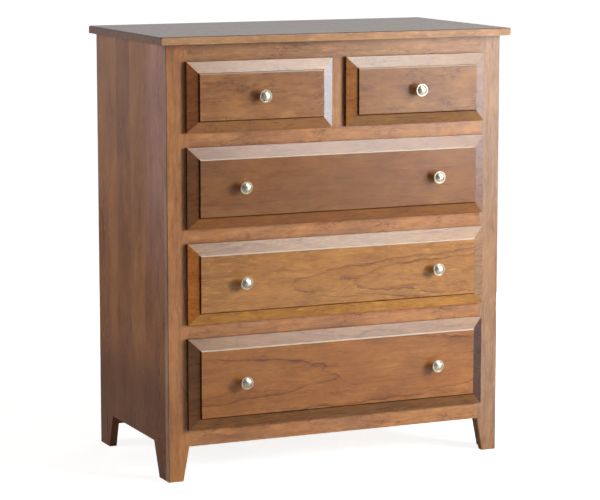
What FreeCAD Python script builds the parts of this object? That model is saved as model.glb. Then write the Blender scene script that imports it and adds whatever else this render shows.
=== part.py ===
import FreeCAD, Part
import os
import re

import Sketcher
from FreeCAD import Vector

# Chest of drawers with two small drawers over three wide ones, in millimetres.
# Pieces are drawn from the middle of the chest, the front of its face frame and the floor:
# X runs to the right, Y to the back and Z up. Their placements then put the origin on the floor,
# midway between the knobs and the back.

SIZES = {
    # Carcass
    "carcass_width": 904,         # over the side panels
    "carcass_depth": 496,         # front of the face frame to the back
    "side_thick": 19,
    "frame_thick": 20,
    "back_thick": 6,
    "back_clear": 45,             # floor to the lower edge of the back panel
    "rabbet_width": 10,           # step in each side panel that takes the back panel
    "panel_tongue_thick": 6,      # tongue on each side panel, let into its stile
    "panel_tongue_length": 8,
    # Top slab
    "top_thick": 19,
    "top_side_over": 20,
    "top_front_over": 22,
    "top_edge_round": 4,
    "top_corner_round": 3,
    # Visible bands of the face frame, and how far the drawer fronts lap over it
    "side_reveal": 49,
    "centre_reveal": 37,
    "top_reveal": 42,
    "drawer_reveal": 35,
    "bottom_reveal": 42,
    "overlay": 5,
    "frame_round": 1.5,           # eased front corner of each stile
    # Feet
    "leg_height": 86,
    "front_foot_width": 38,       # on the floor, seen from the front
    "side_foot_width": 66,        # on the floor, seen from the side
    "front_foot_top": 102,        # where the arch of the side panel starts
    "back_foot_top": 92,
    # Mortise and tenon joints of the face frame
    "tenon_thick": 8,
    "tenon_length": 25,
    "tenon_shoulder": 6,
    "muntin_tenon": 16,
    "bearer_tenon": 9,
    "glue_gap": 1,                # room left at the bottom of each mortise and screw hole
    # Boards inside the carcass
    "stretcher_width": 70,
    "stretcher_thick": 19,
    "back_rail_height": 70,
    "back_rail_thick": 19,
    "cleat_height": 60,
    # Drawer fronts
    "upper_front_height": 172,
    "second_front_height": 199,
    "third_front_height": 199,
    "bottom_front_height": 226,
    "front_gap": 1,               # behind the closed drawer front
    "edge_thick": 9,
    "bevel_width": 28,
    "bevel_rise": 10,
    "field_step": 3.5,
    "field_round": 2.4,           # eased edge of the raised field
    # Drawer boxes
    "box_clear_behind": 38,       # closed drawer box to the back panel
    "box_side_thick": 13,
    "box_back_thick": 13,
    "box_back_inset": 10,
    "box_back_drop": 6,
    "box_bottom_thick": 6,
    "box_gap_above": 12,
    "box_gap_below": 10,
    "groove_height": 12,
    "groove_depth": 6,
    "groove_gap": 0.5,
    "dado_depth": 5,
    "tongue_root": 7,
    "tongue_end": 9,
    "tongue_length": 6,
    # Slides
    "slide_gap": 13,              # frame opening to drawer box
    "slide_height": 45,
    "slide_wall": 1.2,
    "slide_clear": 0.3,
    "slide_setback": 2,
    # Knobs
    "knob_diameter": 32,
    "knob_projection": 26,
    "knob_base": 16,
    "knob_base_thick": 2,
    "knob_base_lip": 1,
    "knob_waist": 5,              # depth of the hollow between base and head
    "knob_dome": 5.4,
    "knob_rim_width": 2.6,
    "knob_rim_chamfer": 0.8,
    "knob_rim_edge": 1.4,
    "knob_flare": 1.5,
    "knob_spread": 262,           # knob to the middle of a wide drawer
    # Screws
    "knob_screw": 4,
    "knob_screw_reach": 10,
    "knob_screw_head": 8,
    "knob_screw_head_thick": 2.5,
    "top_screw": 4,
    "top_screw_reach": 11,
    "top_screw_head": 9,
    "top_screw_head_thick": 3,
    "top_screw_spread": 330,
    "screw_clear": 0.2,
}

# Sizes and places that follow from the driving ones
PLACES = {
    "half_width": "carcass_width / 2",
    "inner_half": "carcass_width / 2 - side_thick",
    "stile_width": "side_reveal + overlay",
    "opening_half": "half_width - stile_width",
    "back_face": "carcass_depth - back_thick",
    "top_rail_height": "top_reveal + overlay",
    "drawer_rail_height": "drawer_reveal + 2 * overlay",
    "bottom_rail_height": "bottom_reveal + overlay",
    "muntin_width": "centre_reveal + 2 * overlay",
    "bottom_front_base": "leg_height + bottom_reveal",
    "third_front_base": "bottom_front_base + bottom_front_height + drawer_reveal",
    "second_front_base": "third_front_base + third_front_height + drawer_reveal",
    "upper_front_base": "second_front_base + second_front_height + drawer_reveal",
    "carcass_top": "upper_front_base + upper_front_height + top_reveal",
    "top_rail_base": "carcass_top - top_rail_height",
    "upper_rail_base": "upper_front_base - drawer_reveal - overlay",
    "middle_rail_base": "second_front_base - drawer_reveal - overlay",
    "lower_rail_base": "third_front_base - drawer_reveal - overlay",
    "wide_front": "carcass_width - 2 * side_reveal",
    "narrow_front": "(wide_front - centre_reveal) / 2",
    "narrow_centre": "(narrow_front + centre_reveal) / 2",
    "front_edge": "front_gap + edge_thick",
    "field_proud": "front_gap + edge_thick + bevel_rise + field_step",
    "frame_front": "(field_proud + knob_projection - carcass_depth) / 2",
    "box_base": "overlay + box_gap_below",
    "box_end": "back_face - box_clear_behind",
    "slide_length": "box_end - slide_setback",
    "tenon_front": "(frame_thick - tenon_thick) / 2",
    "slide_step": "slide_wall + slide_clear",
    "stretcher_middle": "stretcher_width / 2",
}

SHEET_OF = dict.fromkeys(SIZES, "Sizes") | dict.fromkeys(PLACES, "Places")
ROWS = ("upper", "second", "third", "bottom")
LEFT = -1
RIGHT = 1
SIDE_NAMES = {LEFT: "left", RIGHT: "right"}

# Each drawer has its name, its row, its front's width, its middle and the places of its knobs
DRAWERS = (
    ("upper_left_drawer", "upper", "narrow_front", "-narrow_centre", ("0",)),
    ("upper_right_drawer", "upper", "narrow_front", "narrow_centre", ("0",)),
    ("second_drawer", "second", "wide_front", "0", ("-knob_spread", "knob_spread")),
    ("third_drawer", "third", "wide_front", "0", ("-knob_spread", "knob_spread")),
    ("bottom_drawer", "bottom", "wide_front", "0", ("-knob_spread", "knob_spread")),
)

# Each rail of the face frame has its name, its lower edge and its height
RAILS = (
    ("top_rail", "top_rail_base", "top_rail_height"),
    ("upper_drawer_rail", "upper_rail_base", "drawer_rail_height"),
    ("middle_drawer_rail", "middle_rail_base", "drawer_rail_height"),
    ("lower_drawer_rail", "lower_rail_base", "drawer_rail_height"),
    ("bottom_rail", "leg_height", "bottom_rail_height"),
)

HOME = ("0", "frame_front", "0")
PLANE_OF = {"x": "YZ_Plane", "y": "XZ_Plane", "z": "XY_Plane"}

doc = FreeCAD.newDocument("chest_of_drawers")
pieces = []


# Sheets and expressions

def bound(text):
    """Expression with each size and place preceded by the sheet that holds it."""
    return re.sub(r"[a-z][a-z_]+", lambda word: SHEET_OF[word.group()] + "." + word.group(), text)


def number(text):
    """Value that an expression has now."""
    return float(sizes.evalExpression(bound(text)))


def fill_sheet(name, cells):
    """Spreadsheet with one aliased cell per entry."""
    sheet = doc.addObject("Spreadsheet::Sheet", name)
    for row, (alias, content) in enumerate(cells.items(), start=1):
        sheet.set(f"A{row}", alias)
        sheet.set(f"B{row}", content)
        sheet.setAlias(f"B{row}", alias)
    doc.recompute()
    return sheet


# Sketches and features

def new_body(name, place=HOME):
    """Empty body whose own origin lies at a place."""
    body = doc.addObject("PartDesign::Body", name)
    body.Label = name
    put(body, place)
    return body


def put(piece, place):
    """Bind the placement of a piece to three expressions."""
    for axis, value in zip("xyz", place):
        piece.setExpression(f"Placement.Base.{axis}", bound(value))


def sketch_across(body, axis, level):
    """Empty sketch square to an axis, at a level along it."""
    sketch = body.newObject("Sketcher::SketchObject", body.Name + "_outline")
    plane = next(face for face in body.Origin.OriginFeatures if face.Role == PLANE_OF[axis])
    sketch.AttachmentSupport = [(plane, "")]
    sketch.MapMode = "FlatFace"
    turn = "-" if axis == "y" else ""
    sketch.setExpression("AttachmentOffset.Base.z", bound(f"{turn}({level})"))
    return sketch


def pin(sketch, edge, end, corner):
    """Hold one end of an edge at a corner given by two expressions."""
    for kind, value in zip(("DistanceX", "DistanceY"), corner):
        index = sketch.addConstraint(Sketcher.Constraint(kind, -1, 1, edge, end, number(value)))
        sketch.setExpression(f"Constraints[{index}]", bound(value))


def draw(sketch, corners, arcs=None):
    """Closed outline through corners; arcs gives edges that are round, by radius and bulging side."""
    arcs = arcs or {}
    points = [Vector(number(across), number(along), 0) for across, along in corners]
    ends = []
    for index, here in enumerate(points):
        there = points[(index + 1) % len(points)]
        if index in arcs:
            radius, side = arcs[index]
            half = (there - here) / 2
            rise = number(radius) - (number(radius) ** 2 - half.Length ** 2) ** 0.5
            across = Vector(-half.y, half.x, 0).normalize()
            curve = Part.Arc(here, here + half + across * rise * side, there)
        else:
            curve = Part.LineSegment(here, there)
        edge = sketch.addGeometry(curve, False)
        forward = sketch.getPoint(edge, 1).isEqual(here, 1e-6)
        ends.append((edge, 1, 2) if forward else (edge, 2, 1))
    for (edge, start, stop), (after, begin, _) in zip(ends, ends[1:] + ends[:1]):
        sketch.addConstraint(Sketcher.Constraint("Coincident", edge, stop, after, begin))
    for (edge, start, stop), corner in zip(ends, corners):
        pin(sketch, edge, start, corner)
    for index, (radius, side) in arcs.items():
        held = sketch.addConstraint(Sketcher.Constraint("Radius", ends[index][0], number(radius)))
        sketch.setExpression(f"Constraints[{held}]", bound(radius))


def rectangle(left, right, low, high):
    """Corners of an upright rectangle."""
    return [(left, low), (right, low), (right, high), (left, high)]


def extrude(kind, body, axis, level, length, outlines):
    """Pad or Pocket that runs from a level along an axis, toward the plus side."""
    sketch = sketch_across(body, axis, level)
    for corners in outlines:
        draw(sketch, corners)
    return run_through(kind, body, axis, sketch, length)


def run_through(kind, body, axis, sketch, length):
    """Feature of a finished sketch; a Pocket has to take material away."""
    before = body.Shape.Volume if kind == "Pocket" else 0
    feature = body.newObject("PartDesign::" + kind, body.Name + "_" + kind.lower())
    feature.Profile = sketch
    feature.Reversed = (kind == "Pad") == (axis == "y")
    feature.setExpression("Length", bound(length))
    body.Tip = feature
    doc.recompute()
    if kind == "Pocket" and body.Shape.Volume >= before:
        raise ValueError(f"{feature.Name} cuts nothing")
    return feature


def pad(body, axis, level, length, *outlines):
    """Add material from a level along an axis."""
    return extrude("Pad", body, axis, level, length, outlines)


def pocket(body, axis, level, length, *outlines):
    """Take material away from a level along an axis."""
    return extrude("Pocket", body, axis, level, length, outlines)


def drill(body, axis, level, length, places, radius):
    """Round holes at places across an axis."""
    sketch = sketch_across(body, axis, level)
    for across, along in places:
        middle = Vector(number(across), number(along), 0)
        edge = sketch.addGeometry(Part.Circle(middle, Vector(0, 0, 1), number(radius)), False)
        pin(sketch, edge, 3, (across, along))
        held = sketch.addConstraint(Sketcher.Constraint("Radius", edge, number(radius)))
        sketch.setExpression(f"Constraints[{held}]", bound(radius))
    return run_through("Pocket", body, axis, sketch, length)


def loft_to_front(body, first, first_level, last, last_level):
    """Straight loft between two outlines that lie square to Y."""
    sketches = []
    for corners, level in ((first, first_level), (last, last_level)):
        sketch = sketch_across(body, "y", level)
        draw(sketch, corners)
        sketches.append(sketch)
    loft = body.newObject("PartDesign::AdditiveLoft", body.Name + "_loft")
    loft.Profile = sketches[0]
    loft.Sections = sketches[1:]
    loft.Ruled = True
    body.Tip = loft
    doc.recompute()
    return loft


def turn(body, corners, arcs=None):
    """Solid of revolution about the body's own Y axis."""
    sketch = sketch_across(body, "z", "0")
    draw(sketch, corners, arcs)
    feature = body.newObject("PartDesign::Revolution", body.Name + "_turned")
    feature.Profile = sketch
    feature.ReferenceAxis = (sketch, ["V_Axis"])
    feature.Angle = 360
    body.Tip = feature
    doc.recompute()
    return feature


def ease(body, radius, wanted):
    """Fillet on the edges of a body that a test picks out."""
    base = body.Tip
    edges = enumerate(base.Shape.Edges, start=1)
    names = [f"Edge{index}" for index, edge in edges if wanted(edge)]
    fillet = body.newObject("PartDesign::Fillet", body.Name + "_eased")
    fillet.Base = (base, names)
    fillet.setExpression("Radius", bound(radius))
    body.Tip = fillet
    doc.recompute()
    return fillet


def board(name, place, left, right, front, back, low, high):
    """Plain rectangular board between two limits along each axis."""
    box = doc.addObject("Part::Box", name)
    box.Label = name
    for measure, start, stop in (("Length", left, right), ("Width", front, back), ("Height", low, high)):
        box.setExpression(measure, bound(f"({stop}) - ({start})"))
    put(box, [f"({origin}) + ({start})" for origin, start in zip(place, (left, front, low))])
    return box


def group(name, members):
    """One sub-part made of several separate solids."""
    compound = doc.addObject("Part::Compound", name)
    compound.Label = name
    compound.Links = members
    return compound


# Carcass

def make_top():
    """Slab that overhangs the sides and the front, with eased upper edges."""
    top = new_body("top_panel")
    half = "(half_width + top_side_over)"
    slab = rectangle(f"-{half}", half, "-top_front_over", "carcass_depth")
    pad(top, "z", "carcass_top", "top_thick", slab)
    places = [(across, along) for along in screw_rows() for across in screw_columns()]
    drill(top, "z", "carcass_top", "top_screw_reach + glue_gap", places, "top_screw / 2")
    front = number("-top_front_over")
    level = number("carcass_top + top_thick")
    upright = number("top_thick")

    def front_corner(edge):
        """Upright edge at the front of the slab."""
        box = edge.BoundBox
        return abs(box.ZLength - upright) < 1e-6 and abs(box.YMax - front) < 1e-6

    def upper_edge(edge):
        """Edge round the upper face, apart from the one at the back."""
        box = edge.BoundBox
        return abs(box.ZMin - level) < 1e-6 and box.YMin < number("carcass_depth") - 1e-6

    ease(top, "top_corner_round", front_corner)
    ease(top, "top_edge_round", upper_edge)
    return top


def screw_columns():
    """Places of the top's screws across the chest."""
    return ("-top_screw_spread", "0", "top_screw_spread")


def screw_rows():
    """Places of the top's screws from front to back, in the middle of each stretcher."""
    return ("frame_thick + stretcher_middle", "back_face - stretcher_middle")


def make_side(hand):
    """Side panel with a foot arch, a tongue along its front and a rabbet for the back panel."""
    side = new_body("side_panel_" + SIDE_NAMES[hand])
    outer = "-half_width" if hand == LEFT else "inner_half"
    profile = [
        ("frame_thick", "0"),
        ("side_foot_width", "0"),
        ("front_foot_top", "leg_height"),
        ("carcass_depth - back_foot_top", "leg_height"),
        ("carcass_depth - side_foot_width", "0"),
        ("carcass_depth", "0"),
        ("carcass_depth", "carcass_top"),
        ("frame_thick", "carcass_top"),
    ]
    pad(side, "x", outer, "side_thick", profile)
    tongue = rectangle("frame_thick - panel_tongue_length", "frame_thick + panel_tongue_length",
                       "leg_height", "carcass_top")
    start = f"{hand} * (half_width - side_thick / 2) - panel_tongue_thick / 2"
    pad(side, "x", start, "panel_tongue_thick", tongue)
    rabbet = rectangle("back_face", "carcass_depth", "back_clear", "carcass_top")
    start = "-inner_half - rabbet_width" if hand == LEFT else "inner_half"
    pocket(side, "x", start, "rabbet_width", rabbet)
    return side


def make_stile(hand):
    """Stile that narrows into a front foot, with mortises for the rails and a groove for the side."""
    stile = new_body("face_stile_" + SIDE_NAMES[hand])
    outer = f"{hand} * half_width"
    inner = f"{hand} * opening_half"
    profile = [
        (outer, "0"),
        (f"{hand} * (half_width - front_foot_width)", "0"),
        (inner, "leg_height"),
        (inner, "carcass_top"),
        (outer, "carcass_top"),
    ]
    pad(stile, "y", "0", "frame_thick", profile)
    corner = number(outer)

    def front_corner(edge):
        """Long upright edge at the outer front corner."""
        box = edge.BoundBox
        return abs(box.XMin - corner) + abs(box.XMax - corner) + abs(box.YMax) < 1e-6

    ease(stile, "frame_round", front_corner)
    depth = "(tenon_length + glue_gap)"
    start = f"-opening_half - {depth}" if hand == LEFT else "opening_half"
    mortises = [
        rectangle("tenon_front", "tenon_front + tenon_thick",
                  f"{base} + tenon_shoulder", f"{base} + {height} - tenon_shoulder")
        for name, base, height in RAILS
    ]
    pocket(stile, "x", start, depth, *mortises)
    middle = f"{hand} * (half_width - side_thick / 2)"
    groove = rectangle(f"{middle} - panel_tongue_thick / 2", f"{middle} + panel_tongue_thick / 2",
                       "frame_thick - panel_tongue_length - glue_gap", "frame_thick")
    pocket(stile, "z", "leg_height", "carcass_top - leg_height", groove)
    return stile


def make_rail(name, base, height):
    """Rail of the face frame with a tenon at each end, and a mortise where the muntin meets it."""
    rail = new_body(name)
    pad(rail, "y", "0", "frame_thick",
        rectangle("-opening_half", "opening_half", base, f"{base} + {height}"))
    reach = "(opening_half + tenon_length)"
    pad(rail, "y", "tenon_front", "tenon_thick",
        rectangle(f"-{reach}", reach, f"{base} + tenon_shoulder", f"{base} + {height} - tenon_shoulder"))
    depth = "(muntin_tenon + glue_gap)"
    tenon_half = "(muntin_width / 2 - tenon_shoulder)"
    mortise = rectangle(f"-{tenon_half}", tenon_half, "tenon_front", "tenon_front + tenon_thick")
    if name == "top_rail":
        pocket(rail, "z", base, depth, mortise)
    if name == "upper_drawer_rail":
        pocket(rail, "z", f"{base} + {height} - {depth}", depth, mortise)
    return rail


def make_muntin():
    """Upright between the two small drawers, with a tenon at each end and a mortise for the bearer."""
    muntin = new_body("upper_muntin")
    base = "(upper_rail_base + drawer_rail_height)"
    half = "muntin_width / 2"
    tenon_half = "(muntin_width / 2 - tenon_shoulder)"
    pad(muntin, "y", "0", "frame_thick", rectangle(f"-{half}", half, base, "top_rail_base"))
    pad(muntin, "y", "tenon_front", "tenon_thick",
        rectangle(f"-{tenon_half}", tenon_half, f"{base} - muntin_tenon", "top_rail_base + muntin_tenon"))
    pocket(muntin, "y", "frame_thick - bearer_tenon - glue_gap", "bearer_tenon + glue_gap",
           bearer_tenon_outline())
    return muntin


def slide_level(row):
    """Height of a row's slides above the floor."""
    return f"({row}_front_base + ({row}_front_height + box_gap_below - box_gap_above) / 2)"


def bearer_tenon_outline():
    """Stub tenon of the centre bearer, seen from the front."""
    level = slide_level("upper")
    return rectangle("-tenon_thick / 2", "tenon_thick / 2",
                     f"{level} - cleat_height / 2 + tenon_shoulder",
                     f"{level} + cleat_height / 2 - tenon_shoulder")


def make_centre_bearer():
    """Bearer behind the muntin that carries the inner slides of the small drawers."""
    bearer = new_body("centre_bearer")
    level = slide_level("upper")
    half = "muntin_width / 2"
    pad(bearer, "y", "frame_thick", "back_face - frame_thick",
        rectangle(f"-{half}", half, f"{level} - cleat_height / 2", f"{level} + cleat_height / 2"))
    pad(bearer, "y", "frame_thick - bearer_tenon", "2 * bearer_tenon", bearer_tenon_outline())
    return bearer


def make_stretcher(name, front, screw_row):
    """Flat board under the top, drilled for the screws that hold the top down."""
    stretcher = new_body(name)
    low = "carcass_top - stretcher_thick"
    pad(stretcher, "z", low, "stretcher_thick",
        rectangle("-inner_half", "inner_half", front, f"{front} + stretcher_width"))
    places = [(across, screw_row) for across in screw_columns()]
    drill(stretcher, "z", low, "stretcher_thick", places, "top_screw / 2 + screw_clear")
    return stretcher


def make_top_screws():
    """Screws that run up through both stretchers into the top."""
    screws = []
    for along in screw_rows():
        for across in screw_columns():
            screw = new_body("top_screw", (across, f"frame_front + {along}", "0"))
            low = "carcass_top - stretcher_thick"
            disc(screw, f"{low} - top_screw_head_thick", "top_screw_head_thick", "top_screw_head / 2")
            disc(screw, low, "stretcher_thick + top_screw_reach", "top_screw / 2")
            screws.append(screw)
    return group("top_screws", screws)


def disc(body, level, length, radius):
    """Round pad about the body's own Z axis."""
    sketch = sketch_across(body, "z", level)
    edge = sketch.addGeometry(Part.Circle(Vector(0, 0, 0), Vector(0, 0, 1), number(radius)), False)
    sketch.addConstraint(Sketcher.Constraint("Coincident", edge, 3, -1, 1))
    held = sketch.addConstraint(Sketcher.Constraint("Radius", edge, number(radius)))
    sketch.setExpression(f"Constraints[{held}]", bound(radius))
    return run_through("Pad", body, "z", sketch, length)


def make_cleats(hand):
    """Boards on one side panel that bring the slides level with the edge of the stile."""
    limits = ("-inner_half", "-opening_half") if hand == LEFT else ("opening_half", "inner_half")
    cleats = []
    for row in ROWS:
        low = f"{slide_level(row)} - cleat_height / 2"
        high = f"{slide_level(row)} + cleat_height / 2"
        cleats.append(board("cleat", HOME, *limits, "frame_thick", "back_face", low, high))
    return group("slide_cleats_" + SIDE_NAMES[hand], cleats)


def make_back_panel():
    """Plywood back in the rabbets of the side panels."""
    half = "(inner_half + rabbet_width - groove_gap)"
    return board("back_panel", HOME, f"-{half}", half, "back_face", "carcass_depth",
                 "back_clear", "carcass_top")


def make_back_rail():
    """Rail between the back feet that stiffens the back panel."""
    return board("bottom_back_rail", HOME, "-inner_half", "inner_half",
                 "back_face - back_rail_thick", "back_face",
                 "leg_height", "leg_height + back_rail_height")


# Slides

def channel(name, place, opening, hand, web, tip, half):
    """Channel of one slide member; web and tip are distances from the edge of the frame opening."""
    turn_side = 1 if number(tip) > number(web) else -1
    inside = f"({web} + {turn_side} * slide_wall)"
    inner = f"({half} - slide_wall)"
    section = [
        (web, f"-{half}"),
        (tip, f"-{half}"),
        (tip, f"-{inner}"),
        (inside, f"-{inner}"),
        (inside, inner),
        (tip, inner),
        (tip, half),
        (web, half),
    ]
    corners = [(f"{hand} * ({opening} - ({across}))", level) for across, level in section]
    member = new_body(name, place)
    pad(member, "y", "slide_setback", "slide_length", corners)
    return member


def make_slide_members(drawer):
    """Cabinet, intermediate and drawer members of one drawer's pair of slides."""
    name, row, width, centre, knobs = drawer
    place = (centre, "frame_front", slide_level(row))
    opening = f"({width} / 2 - overlay)"
    half = "slide_height / 2"
    kinds = {
        "cabinet": ("0", "slide_gap - 2 * slide_wall", f"({half})"),
        "middle": ("slide_step", "slide_gap - slide_step", f"({half} - slide_step)"),
        "drawer": ("slide_gap", "2 * slide_step", f"({half} - 2 * slide_step)"),
    }
    return {
        kind: [channel(f"{name}_{kind}_slide", place, opening, hand, *section) for hand in (LEFT, RIGHT)]
        for kind, section in kinds.items()
    }


# Drawers

def tongue_outline(hand, box_half):
    """Sliding dovetail between a box side and the drawer front, seen from above."""
    middle = f"{hand} * ({box_half} - box_side_thick / 2)"
    back = "-front_gap"
    front = "-front_gap - tongue_length"
    return [
        (f"{middle} - tongue_root / 2", back),
        (f"{middle} + tongue_root / 2", back),
        (f"{middle} + tongue_end / 2", front),
        (f"{middle} - tongue_end / 2", front),
    ]


def make_drawer_front(name, place, width, height, box_half, knobs):
    """Block front: square edge, mitred bevel and a field that stands a step above it."""
    front = new_body(name + "_front", place)
    half = f"({width} / 2)"
    field_half = f"({half} - bevel_width)"
    whole = rectangle(f"-{half}", half, "0", height)
    field = rectangle(f"-{field_half}", field_half, "bevel_width", f"{height} - bevel_width")
    pad(front, "y", "-front_edge", "edge_thick", whole)
    loft_to_front(front, whole, "-front_edge", field, "-front_edge - bevel_rise")
    pad(front, "y", "-field_proud", "field_step + bevel_rise", field)
    level = number("-field_proud")

    def field_edge(edge):
        """Edge round the face of the field."""
        box = edge.BoundBox
        return abs(box.YMin - level) + abs(box.YMax - level) < 1e-6

    ease(front, "field_round", field_edge)
    box_top = f"{height} - overlay - box_gap_above"
    pocket(front, "z", "0", box_top, tongue_outline(LEFT, box_half), tongue_outline(RIGHT, box_half))
    reach = f"({box_half} - box_side_thick + groove_depth)"
    pocket(front, "y", "-front_gap - groove_depth", "groove_depth",
           rectangle(f"-{reach}", reach, "box_base + groove_height",
                     "box_base + groove_height + box_bottom_thick"))
    places = [(across, f"{height} / 2") for across in knobs]
    drill(front, "y", "-field_proud", "field_proud - front_gap", places, "knob_screw / 2 + screw_clear")
    return front


def make_box_side(name, place, hand, height, box_half):
    """Box side with its dovetail tongue, the groove for the bottom and the housing for the back."""
    side = new_body(f"{name}_side_{SIDE_NAMES[hand]}", place)
    inner = f"({box_half} - box_side_thick)"
    box_top = f"({height} - overlay - box_gap_above)"
    floor = "box_base + groove_height"
    start = f"-{box_half}" if hand == LEFT else inner
    pad(side, "x", start, "box_side_thick", rectangle("-front_gap", "box_end", "box_base", box_top))
    pad(side, "z", "box_base", f"{box_top} - box_base", tongue_outline(hand, box_half))
    groove = rectangle(f"{hand} * {inner}", f"{hand} * ({inner} + groove_depth)",
                       floor, f"{floor} + box_bottom_thick")
    pocket(side, "y", "-front_gap - tongue_length", "tongue_length + front_gap + box_end", groove)
    housing = rectangle(f"{hand} * {inner}", f"{hand} * ({inner} + dado_depth)",
                        "box_end - box_back_inset - box_back_thick", "box_end - box_back_inset")
    pocket(side, "z", f"{floor} + box_bottom_thick", f"{box_top} - ({floor} + box_bottom_thick)", housing)
    return side


def make_knobs(name, place, height, knobs):
    """Turned knobs of one drawer, each with the screw that holds it from inside."""
    across, along, up = place
    members = []
    for offset in knobs:
        spot = (f"({across}) + ({offset})", f"{along} - field_proud", f"{up} + {height} / 2")
        knob = new_body(name + "_knob", spot)
        turn(knob, *knob_profile())
        screw = new_body(name + "_knob_screw", spot)
        turn(screw, screw_profile())
        members += [knob, screw]
    return group(name + "_knobs", members)


def knob_profile():
    """Half outline of a knob with a hollow waist, a chamfered rim and a dome inside the rim."""
    head = "knob_diameter / 2"
    bore = "(knob_screw / 2 + screw_clear)"
    bore_end = "-knob_screw_reach - glue_gap"
    rim_face = "(knob_projection - knob_dome + knob_rim_chamfer)"
    rim_front = f"({rim_face} - knob_rim_chamfer)"
    rim_back = f"({rim_front} - knob_rim_edge)"
    waist_start = ("knob_base / 2 - knob_base_lip", "-knob_base_thick")
    waist_end = (f"{head} - knob_flare", f"-({rim_back} - knob_flare)")
    dome_edge = f"({head} - knob_rim_width - knob_rim_chamfer)"
    dome_start = (dome_edge, f"-{rim_front}")
    corners = [
        (bore, "0"),
        ("knob_base / 2", "0"),
        ("knob_base / 2", "-knob_base_thick"),
        waist_start,
        waist_end,
        (head, f"-{rim_back}"),
        (head, f"-{rim_front}"),
        (f"{head} - knob_rim_chamfer", f"-{rim_face}"),
        (f"{head} - knob_rim_width", f"-{rim_face}"),
        dome_start,
        ("0", "-knob_projection"),
        ("0", bore_end),
        (bore, bore_end),
    ]
    chord = f"(({waist_end[0]} - ({waist_start[0]}))^2 + ({waist_end[1]} - ({waist_start[1]}))^2)"
    arcs = {
        corners.index(waist_start): (f"{chord} / (8 * knob_waist) + knob_waist / 2", -1),
        corners.index(dome_start): (f"({dome_edge}^2 + knob_dome^2) / (2 * knob_dome)", 1),
    }
    return corners, arcs


def screw_profile():
    """Half outline of a knob screw, from its head inside the drawer to its tip in the knob."""
    seat = "field_proud - front_gap"
    return [
        ("0", f"{seat} + knob_screw_head_thick"),
        ("0", "-knob_screw_reach"),
        ("knob_screw / 2", "-knob_screw_reach"),
        ("knob_screw / 2", seat),
        ("knob_screw_head / 2", seat),
        ("knob_screw_head / 2", f"{seat} + knob_screw_head_thick"),
    ]


def make_drawer(drawer):
    """Front, box and knobs of one drawer."""
    name, row, width, centre, knobs = drawer
    height = f"{row}_front_height"
    place = (centre, "frame_front", f"{row}_front_base")
    box_half = f"({width} / 2 - overlay - slide_gap)"
    inner = f"({box_half} - box_side_thick)"
    floor = "box_base + groove_height"
    box_top = f"{height} - overlay - box_gap_above"
    back_half = f"({inner} + dado_depth)"
    bottom_half = f"({inner} + groove_depth - groove_gap)"
    return [
        make_drawer_front(name, place, width, height, box_half, knobs),
        make_box_side(name, place, LEFT, height, box_half),
        make_box_side(name, place, RIGHT, height, box_half),
        board(name + "_back", place, f"-{back_half}", back_half,
              "box_end - box_back_inset - box_back_thick", "box_end - box_back_inset",
              f"{floor} + box_bottom_thick", f"{box_top} - box_back_drop"),
        board(name + "_bottom", place, f"-{bottom_half}", bottom_half,
              "-front_gap - groove_depth + groove_gap", "box_end",
              floor, f"{floor} + box_bottom_thick"),
        make_knobs(name, place, height, knobs),
    ]


# Build

sizes = fill_sheet("Sizes", {alias: str(value) for alias, value in SIZES.items()})
fill_sheet("Places", {alias: "=" + bound(formula) for alias, formula in PLACES.items()})

pieces.append(make_top())
for hand in (LEFT, RIGHT):
    pieces.append(make_side(hand))
    pieces.append(make_stile(hand))
    pieces.append(make_cleats(hand))
for rail in RAILS:
    pieces.append(make_rail(*rail))
pieces.append(make_muntin())
pieces.append(make_centre_bearer())
pieces.append(make_stretcher("front_top_stretcher", "frame_thick", screw_rows()[0]))
pieces.append(make_stretcher("back_top_stretcher", "back_face - stretcher_width", screw_rows()[1]))
pieces.append(make_back_rail())
pieces.append(make_back_panel())
pieces.append(make_top_screws())

cabinet_members = []
for drawer in DRAWERS:
    pieces += make_drawer(drawer)
    members = make_slide_members(drawer)
    cabinet_members += members["cabinet"]
    pieces.append(group(drawer[0] + "_slide_inner_members", members["drawer"]))
    pieces.append(group(drawer[0] + "_slide_middle_members", members["middle"]))
pieces.append(group("slide_cabinet_members", cabinet_members))
doc.recompute()

# Check every object, then write one file for each sub-part

for item in doc.Objects:
    if "Invalid" in item.State or "Error" in item.State:
        raise ValueError(f"{item.Label} did not build")
os.makedirs("parts", exist_ok=True)
for piece in pieces:
    if piece.Shape.isNull() or not piece.Shape.isValid() or not piece.Shape.Solids:
        raise ValueError(f"{piece.Label} is not a sound solid")
    piece.Shape.exportStep(f"parts/{piece.Label}.step")
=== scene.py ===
import math

import bmesh
import bpy
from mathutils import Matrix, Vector


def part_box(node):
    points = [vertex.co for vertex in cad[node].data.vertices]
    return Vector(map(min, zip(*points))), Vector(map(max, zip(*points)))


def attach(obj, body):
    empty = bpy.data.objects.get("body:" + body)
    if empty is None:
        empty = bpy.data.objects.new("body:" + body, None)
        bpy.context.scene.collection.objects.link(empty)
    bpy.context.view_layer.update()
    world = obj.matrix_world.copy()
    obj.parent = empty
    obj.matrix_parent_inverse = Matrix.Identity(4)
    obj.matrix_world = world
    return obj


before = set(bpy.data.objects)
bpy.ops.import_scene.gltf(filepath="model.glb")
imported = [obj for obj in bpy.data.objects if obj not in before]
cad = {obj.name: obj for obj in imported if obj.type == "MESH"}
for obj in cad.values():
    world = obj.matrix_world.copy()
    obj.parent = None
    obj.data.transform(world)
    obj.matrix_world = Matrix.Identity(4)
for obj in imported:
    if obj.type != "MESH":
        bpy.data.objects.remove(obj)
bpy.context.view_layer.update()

AXIS_INDEX = {"x": 0, "y": 1, "z": 2}
DRAWERS = ("upper_left_drawer", "upper_right_drawer", "second_drawer", "third_drawer", "bottom_drawer")
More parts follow.
